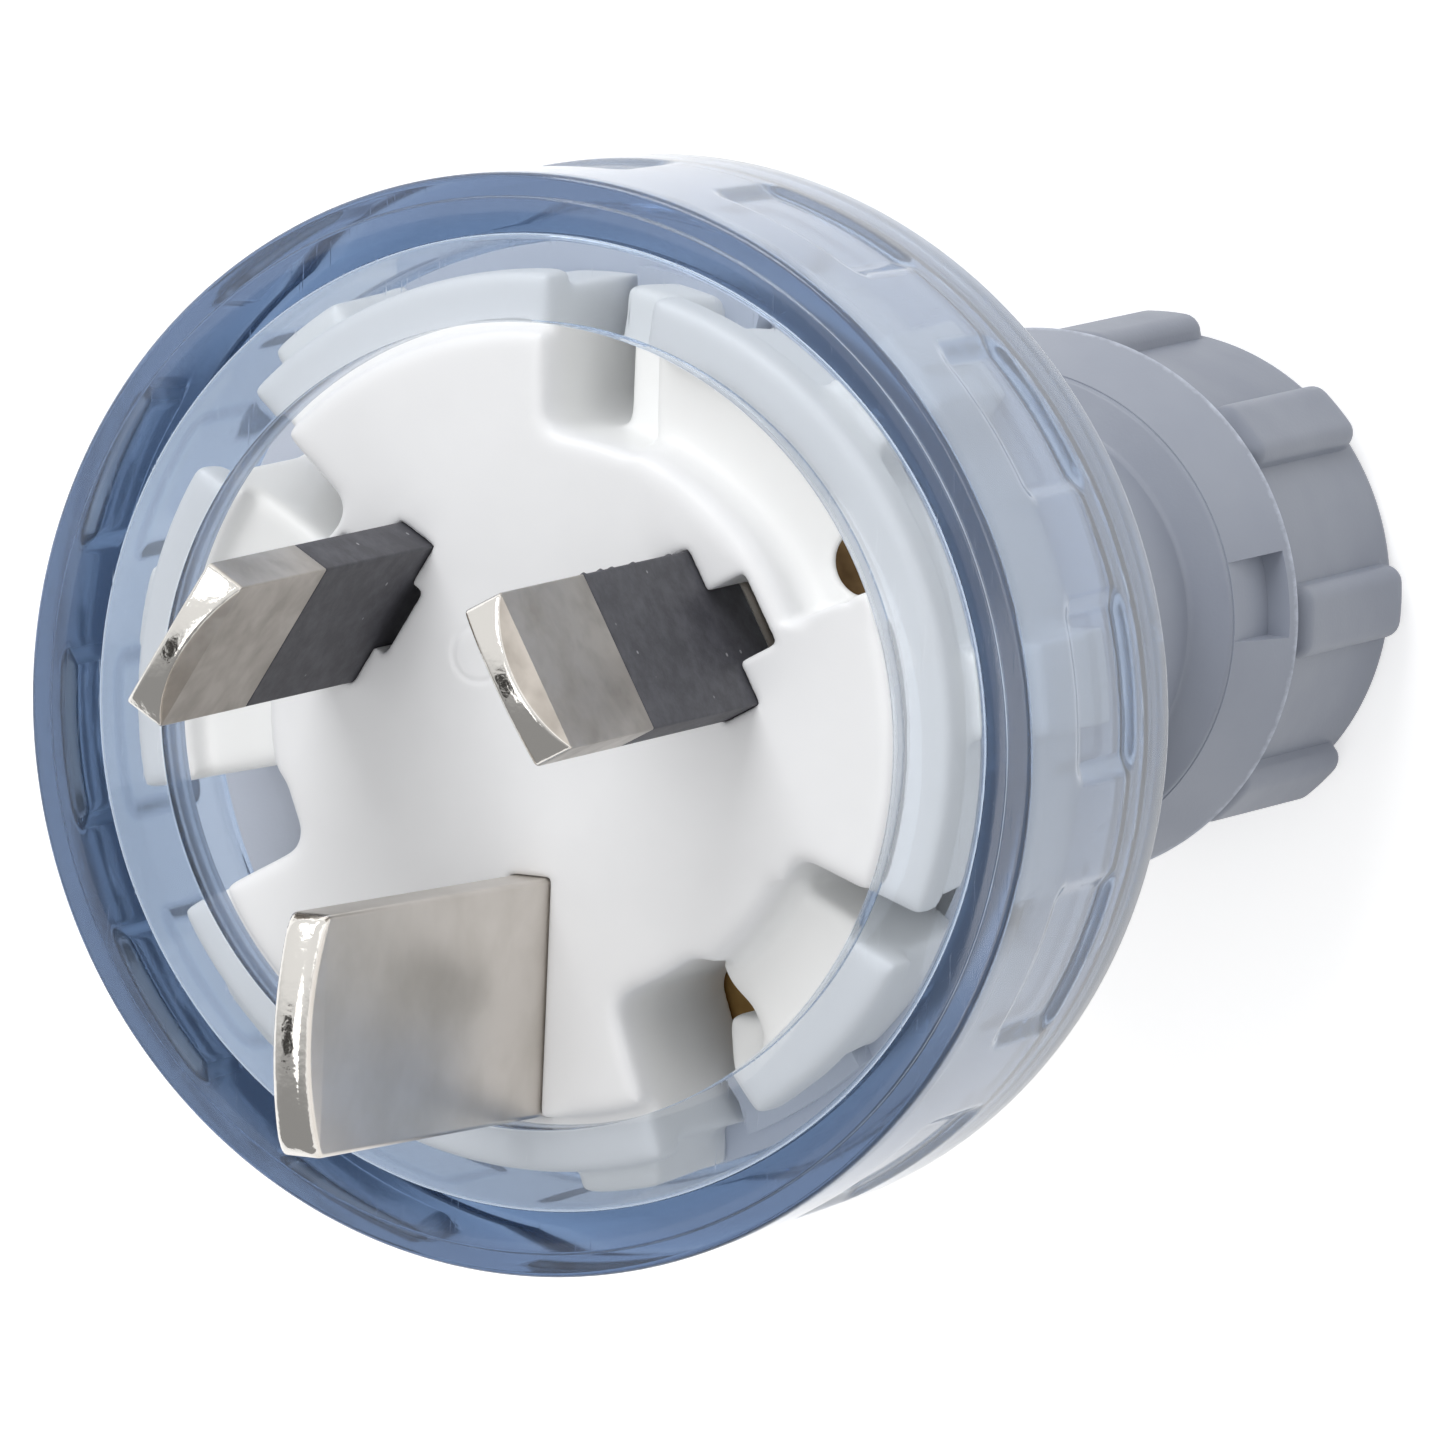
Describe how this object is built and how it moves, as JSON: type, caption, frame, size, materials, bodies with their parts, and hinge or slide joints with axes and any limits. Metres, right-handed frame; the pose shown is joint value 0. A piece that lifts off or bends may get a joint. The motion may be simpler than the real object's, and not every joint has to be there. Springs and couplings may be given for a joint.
{
  "type": "type i plug",
  "caption": "Rewirable flat-blade mains plug with a clear ring cover, white pin carrier, grey bell housing and ribbed gland nut.",
  "frame": {"origin": "centre of the gland nut's flat rear face, on which the plug stands", "axes": "+Z along the plug's axis towards the pins' tips, -Y towards the earth pin, +X on the active pin's side"},
  "size_m": [0.0416, 0.0416, 0.0774],
  "materials": {
    "clear_plastic": "clear moulded polycarbonate, faint blue",
    "white_plastic": "satin moulded",
    "plated_blade": "nickel plated brass, rolled flats",
    "sleeve_plastic": "matte moulded",
    "terminal_brass": "machined",
    "screw_steel": "zinc plated",
    "grey_plastic": "fine satin moulded",
    "black_rubber": "moulded"
  },
  "bodies": {
    "housing": {"rear_housing": "grey_plastic", "cord_clamp": "white_plastic", "cord_grommet": "black_rubber"},
    "carrier": {"pin_carrier": "white_plastic", "active_pin": "plated_blade", "neutral_pin": "plated_blade", "earth_pin": "plated_blade", "active_pin_sleeve": "sleeve_plastic", "neutral_pin_sleeve": "sleeve_plastic", "active_terminal": "terminal_brass", "neutral_terminal": "terminal_brass", "earth_terminal": "terminal_brass", "active_terminal_screw": "screw_steel", "neutral_terminal_screw": "screw_steel", "earth_terminal_screw": "screw_steel", "pin_retainer": "white_plastic", "retainer_screws": "screw_steel"},
    "cover": {"front_cover": "clear_plastic"},
    "washer": {"slip_washer": "white_plastic"},
    "nut": {"gland_nut": "grey_plastic"}
  },
  "joints": [
    {"name": "carrier_slide", "type": "slide", "parent": "housing", "child": "carrier", "axis": [0, 0, 1], "range_m": [0, 0.003]},
    {"name": "cover_turn", "type": "hinge", "parent": "carrier", "child": "cover", "pos_m": [0, 0, 0.05], "axis": [0, 0, 1], "range_deg": [0, 360]},
    {"name": "washer_slide", "type": "slide", "parent": "housing", "child": "washer", "axis": [0, 0, -1], "range_m": [0, 0.0075]},
    {"name": "nut_turn", "type": "hinge", "parent": "washer", "child": "nut", "pos_m": [0, 0, 0.005], "axis": [0, 0, -1], "range_deg": [0, 1350]}
  ],
  "couplings": [
    {"joint": "cover_turn", "follows": "carrier_slide", "rad_per_m": 2094},
    {"joint": "nut_turn", "follows": "washer_slide", "rad_per_m": 3141}
  ]
}
